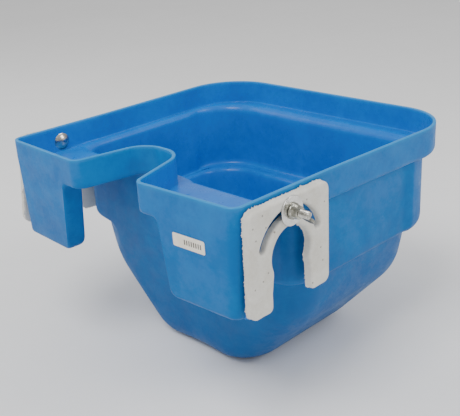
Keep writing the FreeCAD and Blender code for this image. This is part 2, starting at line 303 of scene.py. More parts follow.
def ring_places(outline, start, counts, front_x):
    """Each column's place u on the body's ring.

    The notch and the front go to the front wall, the side to the front corner and the side wall, and
    the rest to the side wall, the back corner and the back."""
    u = np.zeros(len(outline))
    u[:start[1]] = 1.1 * outline[:start[1], 0] / 146
    front_run = [front_x[0], outline[start[2], 0]]
    u[start[1]:start[2]] = np.interp(front_x, front_run, [u[start[1] - 1] + 0.01, 0.95])
    u[start[2]:start[3]] = np.linspace(0.95, 1.0, counts[2] + 1)[1:]
    corner_end = 118.0
    side_rows = outline[start[3]:start[6], 1]
    u[start[3]:start[6]] = 1 + np.clip((side_rows - side_rows[0]) / (corner_end - side_rows[0]), 0, 1)
    arc_at = start[6] + 5 + 14
    wall_run = [corner_end, outline[arc_at, 1]]
    u[start[6]:arc_at] = np.interp(outline[start[6]:arc_at, 1], wall_run, [2.0, 3.0])
    long_side = start[5] + np.where(outline[start[5]:start[6], 1] > corner_end)[0]
    u[long_side] = np.interp(outline[long_side, 1], wall_run, [2.0, 3.0])
    u[arc_at:arc_at + 24] = np.linspace(3, 4, 25)[:-1]
    u[arc_at + 24:] = np.linspace(4, 5, len(u) - arc_at - 24)
    return u


def leg_back_line(outline, start, counts, front_x):
    """The outline with its front and its corner carried back to the leg's back face."""
    back_end = HALF_FRONT - 16
    squeezed = np.interp(front_x, [LEG_LEAN_START, outline[start[2], 0]], [LEG_LEAN_START, back_end])
    edge_middle = HALF_FRONT - LEG_EDGE_R
    to_edge = np.linspace(back_end, edge_middle, counts[2] + 1)[1:]
    edge_y = LEG_THICK - LEG_EDGE_R
    angle = math.pi / 2 * (1 - np.linspace(0, 1, counts[3]))
    back_line = outline.copy()
    back_line[start[1]:start[2], 1] = LEG_THICK
    back_line[start[1]:start[2], 0] = np.minimum(front_x, squeezed)
    back_line[start[2]:start[3]] = np.stack([to_edge, np.full(counts[2], LEG_THICK)], axis=1)
    back_line[start[3]:start[4]] = np.stack([edge_middle + LEG_EDGE_R * np.cos(angle),
                                             edge_y + LEG_EDGE_R * np.sin(angle)], axis=1)
    return back_line


def right_columns():
    """Stations of the tub's right half, from the notch's middle round to the middle of the back.

    Returns the stations of each column and the length of the rounding wanted at each station."""
    parts = rounded_line([
        (0, NOTCH_DEPTH, 0),
        (NOTCH_END_HALF, NOTCH_DEPTH, NOTCH_END_R),
        (NOTCH_MOUTH_HALF, 0, NOTCH_MOUTH_R),
        (HALF_FRONT, FRONT_SETBACK, FRONT_CORNER_R),
        (HALF_FRONT, STRAIGHT_SIDE, SIDE_BEND_R),
        (HALF_BACK, DEPTH, BACK_CORNER_R),
        (0, DEPTH, 0),
    ], lines=[3, 12, 2, 2, 14, 22], arcs=[20, 12, 12, 5, 24])
    notch = np.concatenate(parts[:4])
    mouth_end = parts[4][0]
    corner = parts[5]
    side_start = parts[6][0]
    rest = np.concatenate(parts[7:])

    side = leg_side((9, 8, 9))
    plain_x = np.linspace(mouth_end[0], side[0, 0], 4)[:-1]
    foot_x = np.linspace(side[-1, 0], corner[0, 0], 14)[1:-1]
    front_x = np.concatenate([plain_x, side[:, 0], foot_x])
    front_y = FRONT_SETBACK * (front_x - NOTCH_MOUTH_HALF) / (HALF_FRONT - NOTCH_MOUTH_HALF)
    front_drop = np.concatenate([np.zeros(len(plain_x)), side[:, 1], np.full(len(foot_x), side[-1, 1])])

    turn_y = LEG_THICK - LEG_EDGE_R
    leg_side_y = np.linspace(side_start[1], turn_y, 8)
    tail_y = np.concatenate([[turn_y], turn_y + np.array([1, 2.5, 5, 8, 12])])
    long_y = np.linspace(turn_y + 18, parts[7][0][1], 13)[:-1]

    straight = [np.stack([np.full(len(y), HALF_FRONT), y], axis=1) for y in (leg_side_y, tail_y, long_y)]
    outline = np.concatenate([notch, np.stack([front_x, front_y], axis=1), corner, *straight, rest])
    full = SADDLE - LEG_FOOT
    counts = [len(notch), len(front_x), len(corner), len(leg_side_y), len(tail_y), len(long_y), len(rest)]
    start = np.cumsum([0] + counts)
    drop = np.zeros(len(outline))
    drop[start[1]:start[2]] = front_drop
    drop[start[2]:start[4]] = full

    u = ring_places(outline, start, counts, front_x)
    n = len(outline)
    body = box_ring(*BODY_RING, u)
    u = nearest_places(body, BOWL_RING)
    bowl = box_ring(*BOWL_RING, u)
    knee = box_ring(*KNEE_RING, u)
    base = box_ring(*BASE_RING, u)

    leg = drop > 0
    lean_in = LEG_SIDE_LEAN * np.clip((outline[:, 0] - LEG_LEAN_START) / (HALF_FRONT - LEG_LEAN_START), 0, 1)
    lean_back = LEG_FRONT_LEAN * np.clip((LEG_THICK - outline[:, 1]) / LEG_THICK, 0, 1)
    foot_front = outline + np.stack([-lean_in, lean_back], axis=1) * (drop / full)[:, None]
    back_line = leg_back_line(outline, start, counts, front_x)
    shelf = np.full(n, 0.6)
    shelf[start[4]:start[5]] = 0.6 * np.linspace(0, 1, counts[4]) ** 0.7
    plain = np.ones(n, bool)
    plain[start[1]:start[4]] = False
    inward = outline + (body - outline) * shelf[:, None]
    back_line[plain] = inward[plain]
    foot_back = back_line + np.stack([-lean_in, np.zeros(n)], axis=1) * (drop / full)[:, None]

    def level(plan, z):
        return np.column_stack([plan, np.broadcast_to(z, n)])

    # Where the bowl's ring meets the body's, the bowl starts lower on the way to its knee.
    down = 0.32 * np.clip(1 - np.linalg.norm(body - bowl, axis=1) / 2.5, 0, 1)
    bowl_start = bowl + (knee - bowl) * down[:, None]
    stations = [
        level(outline, RIM - RIM_ROUNDING),
        level(outline, RIM - 20),
        level(foot_front, SADDLE - drop),
        level(foot_back, SADDLE - drop),
        level(back_line, SADDLE),
        level(body, SADDLE),
        level(body, BODY_BOTTOM),
        level(bowl_start, BODY_BOTTOM + (KNEE - BODY_BOTTOM) * down),
        level(knee, KNEE),
        level(base, 0),
        level(np.tile([0.0, BASE_MIDDLE], (n, 1)), 0),
    ]
    toe = np.where(leg, 6.0, 0.0)
    heel = np.where(leg, 4.0, 0.0)
    wanted = (0.0, 0.0, 6.5, toe, heel, 14.0, 13.0, 3.0, 20.0, 26.0, 0.0)
    return np.array(stations), np.array([np.broadcast_to(length, n) for length in wanted])


def shift_notch(grid):
    """The notch's end moved sideways: by a share of its depth, fading past its sides and below the tray."""
    share = np.clip((grid[:, :, 1] - FRONT) / NOTCH_DEPTH, 0, 1)
    near = np.clip((100 - abs(grid[:, :, 0])) / 55, 0, 1)
    high = np.clip((grid[:, :, 2] - SADDLE + 60) / 50, 0, 1)
    moved = grid.copy()
    moved[:, :, 0] += NOTCH_END_SHIFT * share * near * high
    return moved


def tub_skin():
    """Outer skin as welded points and faces, with the index of each rim point in order."""
    stations, cuts = right_columns()
    rows = rounded_columns(stations, cuts, runs=[5, 12, 3, 8, 3, 9, 2, 4, 8, 6],
                           turns=[2, 8, 6, 5, 9, 9, 4, 8, 10])
    rows[:, :, 1] += FRONT
    left = rows[:, -2:0:-1] * np.array([-1, 1, 1])
    grid = shift_notch(np.concatenate([rows, left], axis=1))
    count = grid.shape[1]
    points, faces, back = weld(grid.reshape(-1, 3), strip_faces(len(grid), count, closed=True)[:, ::-1])
    rim = [int(back[0])]
    for index in back[1:count]:
        if index != rim[-1]:
            rim.append(int(index))
    return points, faces, np.array(rim)


def face_areas(points, faces):
    """The triangles, then the quads, as rows of point indices with twice their area vectors."""
    for size in (3, 4):
        chosen = np.array([face for face in faces if len(face) == size])
        if len(chosen) == 0:
            continue
        a, b, c = points[chosen[:, 0]], points[chosen[:, 1]], points[chosen[:, 2]]
        area = np.cross(b - a, c - a)
        if size == 4:
            area = area + np.cross(c - a, points[chosen[:, 3]] - a)
        yield chosen, area


def point_normals(points, faces):
    """Normal at each point: the sum of its faces' area vectors, made unit length."""
    normals = np.zeros_like(points)
    for chosen, area in face_areas(points, faces):
        for k in range(chosen.shape[1]):
            np.add.at(normals, chosen[:, k], area)
    return normals / np.maximum(np.linalg.norm(normals, axis=1), 1e-9)[:, None]


def build_tub():
    """The moulded tub: its outer skin, the same skin moved in by the wall, and the rim between them.

    Both skins sink by up to a quarter of a millimetre where a slow wave says so, as a moulded wall
    does. The inner skin is held inside the straight side walls, because it folds at the leg's top."""
    outer, faces, rim = tub_skin()
    normals = point_normals(outer, faces)
    sink = 0.12 * (1 + waves(outer, 90, 11))
    high = np.clip((RIM - RIM_ROUNDING - outer[:, 2]) / 30, 0, 1)
    outer = outer - normals * (sink * high)[:, None]
    normals = point_normals(outer, faces)
    inner = outer - normals * WALL
    straight = outer[:, 1] < FRONT + 128
    inner[straight, 0] = np.clip(inner[straight, 0], WALL - HALF_FRONT, HALF_FRONT - WALL)
    count = len(outer)
    inner_faces = [[v + count for v in reversed(face)] for face in faces]
    across = np.array([0.06, 0.2, 0.5, 0.8, 0.94])
    rise = np.array([0.7, 1.08, 1.15, 1.08, 0.7])
    edge = outer[rim] + across[:, None, None] * (inner[rim] - outer[rim])
    edge[:, :, 2] += rise[:, None]
    rings = len(across)
    edge_index = 2 * count + np.arange(rings * len(rim)).reshape(rings, len(rim))
    order = np.vstack([rim, edge_index, rim + count])
    ahead = np.roll(order, -1, axis=1)
    edge_faces = np.stack([order[:-1], ahead[:-1], ahead[1:], order[1:]], axis=-1).reshape(-1, 4)
    points = np.concatenate([outer, inner, edge.reshape(-1, 3)])
    tub = make_object("tub_moulding", points, faces + inner_faces + edge_faces.tolist())
    outside = np.concatenate([np.ones(count), np.zeros(count), np.full(rings * len(rim), 0.5)])
    # Painted highlight: this value is full on the rim's edge and fades in over the top 4.5 mm of both skins.
    # The material paints the rim paler where the value is high.
    rim_highlight = np.concatenate([np.clip((points[:2 * count, 2] - RIM + 4.5) / 4.5, 0, 1) ** 2 * 0.8,
                          np.ones(rings * len(rim))])
    for name, values in (("outside", outside), ("rim_highlight", rim_highlight)):
        mark = tub.data.attributes.new(name, "FLOAT", "POINT")
        mark.data.foreach_set("value", values.astype(np.float32))
    return ride_and_replace(tub, "tub", "tub_shell")


# ---- small pieces

def facing_out(points, faces):
    """The faces, all turned round if the closed surface they make is inside out."""
    volume = 0.0
    for chosen, area in face_areas(points, faces):
        volume += (points[chosen[:, 0]] * area).sum()
    return [list(face)[::-1] for face in faces] if volume < 0 else [list(face) for face in faces]


def stood_outward(points, x, y, z, side):
    """Points made on +Z laid along +X, or along -X as a mirror image on the left, foot at x, y, z."""
    turned = np.column_stack([points[:, 2] + x, points[:, 0] + y, points[:, 1] + z])
    return turned * (np.array([1, 1, 1]) if side == "right" else np.array([-1, 1, 1]))


def plane_turn(angle):
    """Matrix that turns points about +Z by an angle in degrees."""
    c, s = math.cos(math.radians(angle)), math.sin(math.radians(angle))
    return np.array([[c, -s, 0], [s, c, 0], [0, 0, 1]])


def lathe(profile, segments, wobble=None):
    """Surface of revolution about +Z: each (radius, height) of the profile becomes a ring.

    A ring of no radius closes on the axis. wobble(angle, height) adds to the radius."""
    angle = np.linspace(0, 2 * math.pi, segments, endpoint=False)
    rings = []
    for radius, height in profile:
        reach = np.full(segments, radius)
        if wobble is not None and radius > 0:
            reach = reach + wobble(angle, height)
        rings.append(np.column_stack([reach * np.cos(angle), reach * np.sin(angle),
                                      np.full(segments, height)]))
    points = np.concatenate(rings)
    faces = strip_faces(len(rings), segments, closed=True)
    kept, out, _ = weld(points, faces, 0.0005)
    return kept, facing_out(kept, out)


def joined(parts):
    """One array of points and one list of faces from several of each."""
    points = []
    faces = []
    for part_points, part_faces in parts:
        offset = sum(len(done) for done in points)
        faces += [[v + offset for v in face] for face in part_faces]
        points.append(part_points)
    return np.concatenate(points), faces


def ride_and_replace(piece, body, node):
    """The piece moves with the body and stands in for the CAD node, which is hidden."""
    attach(piece, body)
    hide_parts(node)
    return piece


# ---- clamp plates

def resampled(path, spacing):
    """The closed path again, with evenly spaced points, after a short running mean rounds its corners."""
    ring = np.vstack([path, path[:1]])
    length = np.concatenate([[0], np.cumsum(np.linalg.norm(np.diff(ring, axis=0), axis=1))])
    count = int(length[-1] / spacing)
    at = np.linspace(0, length[-1], count, endpoint=False)
    even = np.column_stack([np.interp(at, length, ring[:, 0]), np.interp(at, length, ring[:, 1])])
    return sum(np.roll(even, k, axis=0) for k in (-1, 0, 1)) / 3


def arc_points(radius, start, end, count):
    """Points on a circle about the origin, angles in degrees."""
    angle = np.radians(np.linspace(start, end, count))
    return radius * np.column_stack([np.cos(angle), np.sin(angle)])


def plate_outline():
    """Outline of the clamp plate about the rail's centre, y to the right and z up, anticlockwise."""
    top = plate_high[2] - PIVOT_Z
    bottom = plate_low[2] - PIVOT_Z
    front = plate_low[1] - BOLT_Y
    back = plate_high[1] - BOLT_Y
    neck_z = -math.sqrt(OPENING_R ** 2 - OPENING_NECK ** 2)
    neck_angle = math.degrees(math.asin(neck_z / OPENING_R))
    outer = np.concatenate(rounded_line([
        (0, top, 0), (front, top, PLATE_CORNER_R), (front, bottom, PLATE_CORNER_R),
        (-OPENING_MOUTH, bottom, 6), (-OPENING_MOUTH, bottom + 20, 20),
        (-OPENING_NECK, neck_z - 5, 7), (-OPENING_NECK, neck_z, 0),
    ], lines=[30, 60, 15, 8, 8, 4], arcs=[10, 10, 8, 6, 6]))
    circle = arc_points(OPENING_R, 180 - neck_angle, neck_angle, 120)
    far = np.concatenate(rounded_line([
        (OPENING_NECK, neck_z, 0), (OPENING_NECK, neck_z - 5, 7), (OPENING_MOUTH, bottom + 20, 20),
        (OPENING_MOUTH, bottom, 6), (back, bottom, PLATE_CORNER_R), (back, top, PLATE_CORNER_R), (0, top, 0),
    ], lines=[4, 8, 8, 15, 60, 30], arcs=[6, 6, 8, 10, 10]))
    return resampled(np.concatenate([outer[:-1], circle, far[1:-1]]), CUT_SPACING)


def slot_outline():
    """Outline of the curved slot, clockwise: two arcs about the rail's centre with round ends."""
    half = SLOT_HALF_WIDTH
    low, high = 90 - SLOT_HALF_ANGLE, 90 + SLOT_HALF_ANGLE
    middle = arc_points(SLOT_RADIUS, low, high, 2)
    path = np.concatenate([
        arc_points(SLOT_RADIUS + half, high, low, 130),
        middle[0] + arc_points(half, low, low - 180, 16)[1:-1],
        arc_points(SLOT_RADIUS - half, low, high, 110),
        middle[1] + arc_points(half, high + 180, high, 16)[1:-1],
    ])
    return resampled(path, CUT_SPACING)


def sawn_walls(path, thick, seed, tear):
    """Rings of a sawn board's edge, from its outer face round to its back face.

    A row of the profile says how far its ring lies inside the path, its height and how uneven it is.
    The outer arris is rounded. A torn fringe stands out at the back arris: fully on one row and less
    on the rows beside it. tear is the fringe's size, in millimetres or so."""
    ahead = np.roll(path, -1, axis=0) - np.roll(path, 1, axis=0)
    ahead /= np.linalg.norm(ahead, axis=1)[:, None]
    into = np.column_stack([-ahead[:, 1], ahead[:, 0]])
    spot = np.column_stack([path, np.zeros(len(path))])
    chance = np.random.default_rng(seed)
    torn = np.clip(waves(spot, 5, seed) * 0.5 + 0.3 * waves(spot, 2.2, seed + 1) + 0.25, 0, 1)
    torn = tear * (0.3 + torn) * chance.uniform(0.25, 1.6, len(path))
    uneven = 0.22 * min(tear, 1) * waves(spot, 9, seed + 2)
    profile = [(4.2, thick, 0), (3.0, thick, 0), (2.1, thick - 0.15, 0.2), (1.2, thick - 0.55, 0.5),
               (0.55, thick - 1.2, 0.8), (0.2, thick - 2.1, 1), (0.1, thick - 3.2, 1), (0.1, 2.6, 1),
               (0.1, 1.4, 1.2), (0.1, 1.2, 1), (0.35, 0.85, 1), (1.4, 0.65, 0.3), (3.4, 0.65, 0)]
    fringe = {8: 0.45, 9: 1.0, 10: 0.45}
    rings = []
    for row, (inset, height, rough) in enumerate(profile):
        reach = inset - uneven * rough - fringe.get(row, 0) * torn
        rings.append(np.column_stack([path + into * reach[:, None], np.full(len(path), height)]))
    return np.array(rings)


def walls_matched(walls, flats):
    """Walls and flats in one list, with the walls turned so that they wind the same way as the flats."""
    flat_edges = {(a, b) for face in flats for a, b in zip(face, face[1:] + face[:1])}
    shared = sum((a, b) in flat_edges for face in walls[:400] for a, b in zip(face, face[1:] + face[:1]))
    return ([face[::-1] for face in walls] if shared > 100 else walls) + flats


def clamp_plate(side):
    """Clamp plate cut from board: two faces joined by sawn walls round its outline and its slot."""
    thick = plate_high[0] - plate_low[0]
    walls = [sawn_walls(plate_outline(), thick, 21, 1.6), sawn_walls(slot_outline(), thick, 31, 0.1)]
    points = np.concatenate([ring.reshape(-1, 3) for ring in walls])
    wall_faces = []
    flats = []
    offset = 0
    starts = []
    for ring in walls:
        rows, count = ring.shape[:2]
        wall_faces += strip_faces(rows, count, closed=True, offset=offset).tolist()
        starts.append((offset, offset + (rows - 1) * count, count))
        offset += rows * count
    for which in (0, 1):
        loops = [list(range(start[which], start[which] + start[2])) for start in starts]
        flat = [[Vector((*points[v][:2], 0)) for v in loop] for loop in loops]
        index = [v for loop in loops for v in loop]
        for tri in geometry.tessellate_polygon(flat):
            a, b, c = (index[v] for v in tri)
            turn = np.cross(points[b][:2] - points[a][:2], points[c][:2] - points[a][:2])
            if abs(turn) < 1e-7:
                continue
            up = turn > 0
            flats.append([a, b, c] if up == (which == 0) else [a, c, b])
    if side == "left":
        points = points @ plane_turn(-LEFT_PLATE_SWING).T
    placed = stood_outward(points, plate_low[0], BOLT_Y, PIVOT_Z, side)
    placed[:, 2] = np.minimum(placed[:, 2], RIM - 0.05)
    faces = facing_out(placed, walls_matched(wall_faces, flats))
    plate = make_object("sawn_clamp_plate_" + side, placed, faces)
    plate.data.set_sharp_from_angle(angle=math.radians(50))
    return ride_and_replace(plate, side + "_clamp", "clamp_plate_" + side)


# ---- fasteners

def coach_bolt(side):
    """Coach bolt: domed head, square neck and a shank whose thread is a helix of the M8 pitch.

    The thread's radius falls and rises once per pitch of height and once round each turn."""
    head_r, head_rise, radius = 10.3, 4.6, 4.0
    length = bolt_high[0] - (bolt_low[0] + head_rise)
    dome = (head_r ** 2 + head_rise ** 2) / (2 * head_rise)
    angle = np.linspace(0, math.asin(head_r / dome), 16)
    head = [(dome * math.sin(a), dome - head_rise - dome * math.cos(a)) for a in angle[:-1]]
    head += [(head_r - 0.15, -0.42), (head_r, -0.25), (head_r - 0.1, -0.06), (head_r - 0.3, 0.0), (0, 0)]

    def thread(angle, height):
        phase = (height / THREAD_PITCH - angle / (2 * math.pi)) % 1
        depth = 0.68 * np.clip(1.25 * abs(2 * phase - 1) - 0.125, 0, 1)
        return -depth * np.clip((height - 5.5) / 1.5, 0, 1)

    heights = np.arange(0.5, length - 0.9, THREAD_PITCH / 8)
    shank = [(0, 0.5)] + [(radius - 0.02, h) for h in heights]
    shank += [(radius - 0.3, length - 0.6), (radius - 0.9, length - 0.05), (radius - 1.1, length),
              (0, length)]
    square = ((-radius, -radius), (radius, -radius), (radius, radius), (-radius, radius))
    neck_points = np.array([(x, y, z) for z in (-0.2, 3.9) for x, y in square], float)
    neck_faces = [[0, 3, 2, 1], [4, 5, 6, 7], [0, 1, 5, 4], [1, 2, 6, 5], [2, 3, 7, 6], [3, 0, 4, 7]]
    points, faces = joined([lathe(head, 64), lathe(shank, 40, thread), (neck_points, neck_faces)])
    placed = stood_outward(points, bolt_low[0] + head_rise, BOLT_Y, BOLT_Z, side)
    bolt = make_object("coach_bolt_" + side, placed, facing_out(placed, faces))
    bolt.data.set_sharp_from_angle(angle=math.radians(40))
    return ride_and_replace(bolt, "tub", "carriage_bolt_" + side)


def penny_washer(side):
    """Stamped washer: a flat ring whose edges are rolled on its outward face and crisp on the other."""
    thick = washer_high[0] - washer_low[0]
    outer = (washer_high[1] - washer_low[1]) / 2
    bore = 4.2
    loop = [(bore, 0.1), (bore + 0.1, 0), (outer - 0.08, 0), (outer, 0.1), (outer - 0.02, thick - 0.5),
            (outer - 0.2, thick - 0.16), (outer - 0.6, thick - 0.02), (outer - 1.5, thick),
            (bore + 0.9, thick), (bore + 0.25, thick - 0.08), (bore, thick - 0.35), (bore, 0.1)]
    points, faces = lathe(loop, 96)
    placed = stood_outward(points, washer_low[0], BOLT_Y, BOLT_Z, side)
    ring = make_object("penny_washer_" + side, placed, facing_out(placed, faces))
    ring.data.set_sharp_from_angle(angle=math.radians(50))
    return ride_and_replace(ring, side + "_washer", "washer_" + side)


def ear_block(sign):
    """One ear of the wing nut: points and faces of a slab that leans out and up from the hub."""
    outline = [(1.5, 1.4), (6.6, 1.6), (10.5, 4.6), (15.2, 7.6), (17.6, 10.6), (17.75, 13.6),
               (16.4, 16.0), (13.6, 16.75), (10.8, 15.6), (8.6, 12.4), (6.2, 9.2), (1.5, 8.4)]
    points = np.array([(sign * x, y, z) for y in (-1.5, 1.5) for x, z in outline], float)
    count = len(outline)
    faces = [list(range(count)), list(range(2 * count - 1, count - 1, -1))]
    faces += [[k, k + count, (k + 1) % count + count, (k + 1) % count] for k in range(count)]
    return points, faces


def wing_nut(side):
    """Cast wing nut: hub and ears melted into one skin on a fine voxel grid, then bored for the bolt."""
    hub = lathe([(0, 0), (7.6, 0), (8.2, 0.5), (8.1, 1.6), (7.2, 3.2), (6.6, 6.0), (6.2, 8.5), (5.8, 9.0),
                 (0, 9.0)], 64)
    points, faces = joined([hub, ear_block(1), ear_block(-1)])
    turned = points @ plane_turn(90 + WING_TILT[side]).T
    placed = stood_outward(turned, nut_low[0], BOLT_Y, BOLT_Z, "right")
    rough = make_object("wing_nut_rough", placed, faces)
    bm = bmesh.new()
    bm.from_mesh(rough.data)
    bmesh.ops.recalc_face_normals(bm, faces=bm.faces[:])
    bm.to_mesh(rough.data)
    bm.free()
    bore_r = 4.05
    bore_points, bore_faces = lathe([(0, -3), (bore_r, -3), (bore_r, 20), (0, 20)], 48)
    bore_placed = stood_outward(bore_points, nut_low[0], BOLT_Y, BOLT_Z, "right")
    bore = make_object("wing_nut_bore", bore_placed, facing_out(bore_placed, bore_faces))
    grid = rough.modifiers.new("skin", "REMESH")
    grid.mode = "VOXEL"
    grid.voxel_size = 0.4 * MM
    ease = rough.modifiers.new("ease", "SMOOTH")
    ease.factor = 0.5
    ease.iterations = 3
    cut = rough.modifiers.new("bore", "BOOLEAN")
    cut.operation = "DIFFERENCE"
    cut.object = bore
    cut.solver = "EXACT"
    bpy.context.view_layer.update()
    mesh = bpy.data.meshes.new_from_object(rough.evaluated_get(bpy.context.evaluated_depsgraph_get()))
    for thing in (rough, bore):
        bpy.data.objects.remove(thing)
    flat = np.empty(3 * len(mesh.vertices))
    mesh.vertices.foreach_get("co", flat)
    corners = flat.reshape(-1, 3) / MM
    rings = [list(face.vertices) for face in mesh.polygons]
    if side == "left":
        corners = corners * np.array([-1, 1, 1])
        rings = [ring[::-1] for ring in rings]
    nut = make_object("cast_wing_nut_" + side, corners, rings)
    nut.data.set_sharp_from_angle(angle=math.radians(55))
    return ride_and_replace(nut, side + "_nut", "wing_nut_" + side)


# ---- label

def film_label():
    """Thin label on the leg's face: a rounded rectangle whose rings roll over to its edge."""
    width = label_high[0] - label_low[0]
    height = label_high[2] - label_low[2]
    centre = (label_low + label_high) / 2
    radius = 1.6
    corners = []
    for sx, sz, start in ((1, 1, 0), (-1, 1, 90), (-1, -1, 180), (1, -1, 270)):
        middle = np.array([sx * (width / 2 - radius), sz * (height / 2 - radius)])
        corners.append(middle + arc_points(radius, start, start + 90, 8))
    path = resampled(np.concatenate(corners), 0.5)
    rings = []
    for scale, lift in ((1.0, 0.0), (1.0, 0.12), (0.995, 0.18), (0.985, 0.2), (0.8, 0.2), (0.4, 0.2),
                        (0.0, 0.2)):
        plan = path * scale
        x = centre[0] + plan[:, 0]
        z = centre[2] + plan[:, 1]
        setback = FRONT_SETBACK * (x - NOTCH_MOUTH_HALF) / (HALF_FRONT - NOTCH_MOUTH_HALF)
        lean = LEG_FRONT_LEAN * (SADDLE - z) / (SADDLE - LEG_FOOT)
        rings.append(np.column_stack([x, FRONT + setback + lean - lift, z]))
    points = np.concatenate(rings[::-1] + [rings[0] + np.array([0, 0.05, 0])])
    last = len(rings) * len(path)
    faces = strip_faces(len(rings) + 1, len(path), closed=True).tolist()
    faces.append(list(range(last, last + len(path))))
    kept, out, _ = weld(points, faces[:-1], 0.001)
    closing = [int(np.argmin(np.linalg.norm(kept - points[v], axis=1))) for v in faces[-1]]
    bm = bmesh.new()
    verts = [bm.verts.new(point * MM) for point in kept]
    for face in out + [closing]:
        bm.faces.new([verts[v] for v in face])
    bmesh.ops.recalc_face_normals(bm, faces=bm.faces[:])
    mesh = bpy.data.meshes.new("film_label")
    bm.to_mesh(mesh)
    bm.free()
    label = bpy.data.objects.new("film_label", mesh)
    bpy.context.scene.collection.objects.link(label)
    label.data.set_sharp_from_angle(angle=math.radians(40))
    return ride_and_replace(label, "tub", "size_label")


# ---- shader groups

def new_group(name, **numbers):
    """Empty node group whose inputs are a vector and the given numbers, and whose output is a mask."""
    group = bpy.data.node_groups.new(name, "ShaderNodeTree")
    group.interface.new_socket("Vector", in_out="INPUT", socket_type="NodeSocketVector")
    for label, value in numbers.items():
        socket = group.interface.new_socket(label, in_out="INPUT", socket_type="NodeSocketFloat")
        socket.default_value = value
    group.interface.new_socket("Mask", in_out="OUTPUT", socket_type="NodeSocketFloat")
    return group, group.nodes.new("NodeGroupInput"), group.nodes.new("NodeGroupOutput")


def math_node(tree, operation, a, b=None, clamp=False):
    """Math node; each of a and b is a socket or a number."""
    node = tree.nodes.new("ShaderNodeMath")
    node.operation = operation
    node.use_clamp = clamp
    for slot, value in ((0, a), (1, b)):
        if value is None:
            continue
        if isinstance(value, (int, float)):
            node.inputs[slot].default_value = value
        else:
            tree.links.new(value, node.inputs[slot])
    return node.outputs[0]


def times(tree, a, b):
    """Product of two values."""
    return math_node(tree, "MULTIPLY", a, b)


def weighted(tree, first, share, second, other_share):
    """Sum of two values, each times its own share."""
    return math_node(tree, "ADD", times(tree, first, share), times(tree, second, other_share))


def within(tree, value, middle, reach):
    """One where the value lies within reach of the middle, nought elsewhere."""
    away = math_node(tree, "ABSOLUTE", math_node(tree, "SUBTRACT", value, middle))
    return math_node(tree, "LESS_THAN", away, reach)


def spread(tree, value, low, high, out_low=0.0, out_high=1.0):
    """The value's stretch from low to high mapped onto out_low to out_high, smoothly and clamped."""
    node = tree.nodes.new("ShaderNodeMapRange")
    node.interpolation_type = "SMOOTHSTEP"
    for label, number in (("From Min", low), ("From Max", high), ("To Min", out_low), ("To Max", out_high)):
        node.inputs[label].default_value = number
    tree.links.new(value, node.inputs["Value"])
    return node.outputs["Result"]


def blend(tree, share, first, second, kind="Color"):
    """Mix of two colours, each a socket or red, green, blue, or of two sockets of the kind Float."""
    node = tree.nodes.new("ShaderNodeMix")
    node.data_type = "RGBA" if kind == "Color" else "FLOAT"
    for name, value in (("Factor_Float", share), ("A_" + kind, first), ("B_" + kind, second)):
        socket = next(item for item in node.inputs if item.identifier == name)
        if isinstance(value, tuple):
            socket.default_value = (*value, 1)
        else:
            tree.links.new(value, socket)
    return next(item for item in node.outputs if item.identifier == "Result_" + kind)


def tinted(tree, base, mask, share, colour):
    """The base colour with a share of another colour where the mask is bright."""
    return blend(tree, times(tree, mask, share), base, colour)


def noise(tree, vector, scale, detail=4.0, rough=0.55, twist=0.0):
    """Noise value at a scale given in features per metre."""
    node = tree.nodes.new("ShaderNodeTexNoise")
    node.inputs["Scale"].default_value = scale
    node.inputs["Detail"].default_value = detail
    node.inputs["Roughness"].default_value = rough
    node.inputs["Distortion"].default_value = twist
    tree.links.new(vector, node.inputs["Vector"])
    return node.outputs["Fac"]


def mottle_group():
    """Cloudy mask: broad and fine noise added, then stretched about its middle."""
    group, entry, leave = new_group("mottle", Size=20.0)
    scaled = group.nodes.new("ShaderNodeVectorMath")
    scaled.operation = "SCALE"
    group.links.new(entry.outputs["Vector"], scaled.inputs[0])
    group.links.new(entry.outputs["Size"], scaled.inputs["Scale"])
    broad = noise(group, scaled.outputs[0], 1.0, 5.0, 0.6, 0.4)
    fine = noise(group, scaled.outputs[0], 7.0, 4.0, 0.7)
    total = weighted(group, broad, 0.65, fine, 0.35)
    group.links.new(spread(group, total, 0.36, 0.64), leave.inputs["Mask"])
    return group


def speck_group():
    """Scattered small specks: one where the nearest cell centre is close, for a few of the cells."""
    group, entry, leave = new_group("specks", Count=300.0, Share=0.85)
    cells = group.nodes.new("ShaderNodeTexVoronoi")
    group.links.new(entry.outputs["Vector"], cells.inputs["Vector"])
    group.links.new(entry.outputs["Count"], cells.inputs["Scale"])
    near = spread(group, cells.outputs["Distance"], 0.16, 0.26, 1.0, 0.0)
    split = group.nodes.new("ShaderNodeSeparateColor")
    group.links.new(cells.outputs["Color"], split.inputs["Color"])
    few = math_node(group, "GREATER_THAN", split.outputs["Red"], entry.outputs["Share"])
    group.links.new(times(group, near, few), leave.inputs["Mask"])
    return group


mottle = mottle_group()
specks = speck_group()


def start_material(name):
    """New material: its tree, its shader and the object coordinates."""
    material = bpy.data.materials.new(name)
    material.use_nodes = True
    tree = material.node_tree
    where = tree.nodes.new("ShaderNodeTexCoord").outputs["Object"]
    return material, tree, tree.nodes["Principled BSDF"], where


def use_group(tree, group, vector, **values):
    """Group node fed with the coordinates and its own numbers; returns its only output."""
    node = tree.nodes.new("ShaderNodeGroup")
    node.node_tree = group
    tree.links.new(vector, node.inputs["Vector"])
    for name, value in values.items():
        node.inputs[name].default_value = value
    return node.outputs[0]


def add_bump(tree, shader, height, distance, strength=1.0):
    """Bump from a height value, with its depth in metres."""
    node = tree.nodes.new("ShaderNodeBump")
    node.inputs["Distance"].default_value = distance
    node.inputs["Strength"].default_value = strength
    tree.links.new(height, node.inputs["Height"])
    tree.links.new(node.outputs["Normal"], shader.inputs["Normal"])


def attribute(tree, name):
    """The piece's own point attribute."""
    node = tree.nodes.new("ShaderNodeAttribute")
    node.attribute_name = name
    return node.outputs["Fac"]


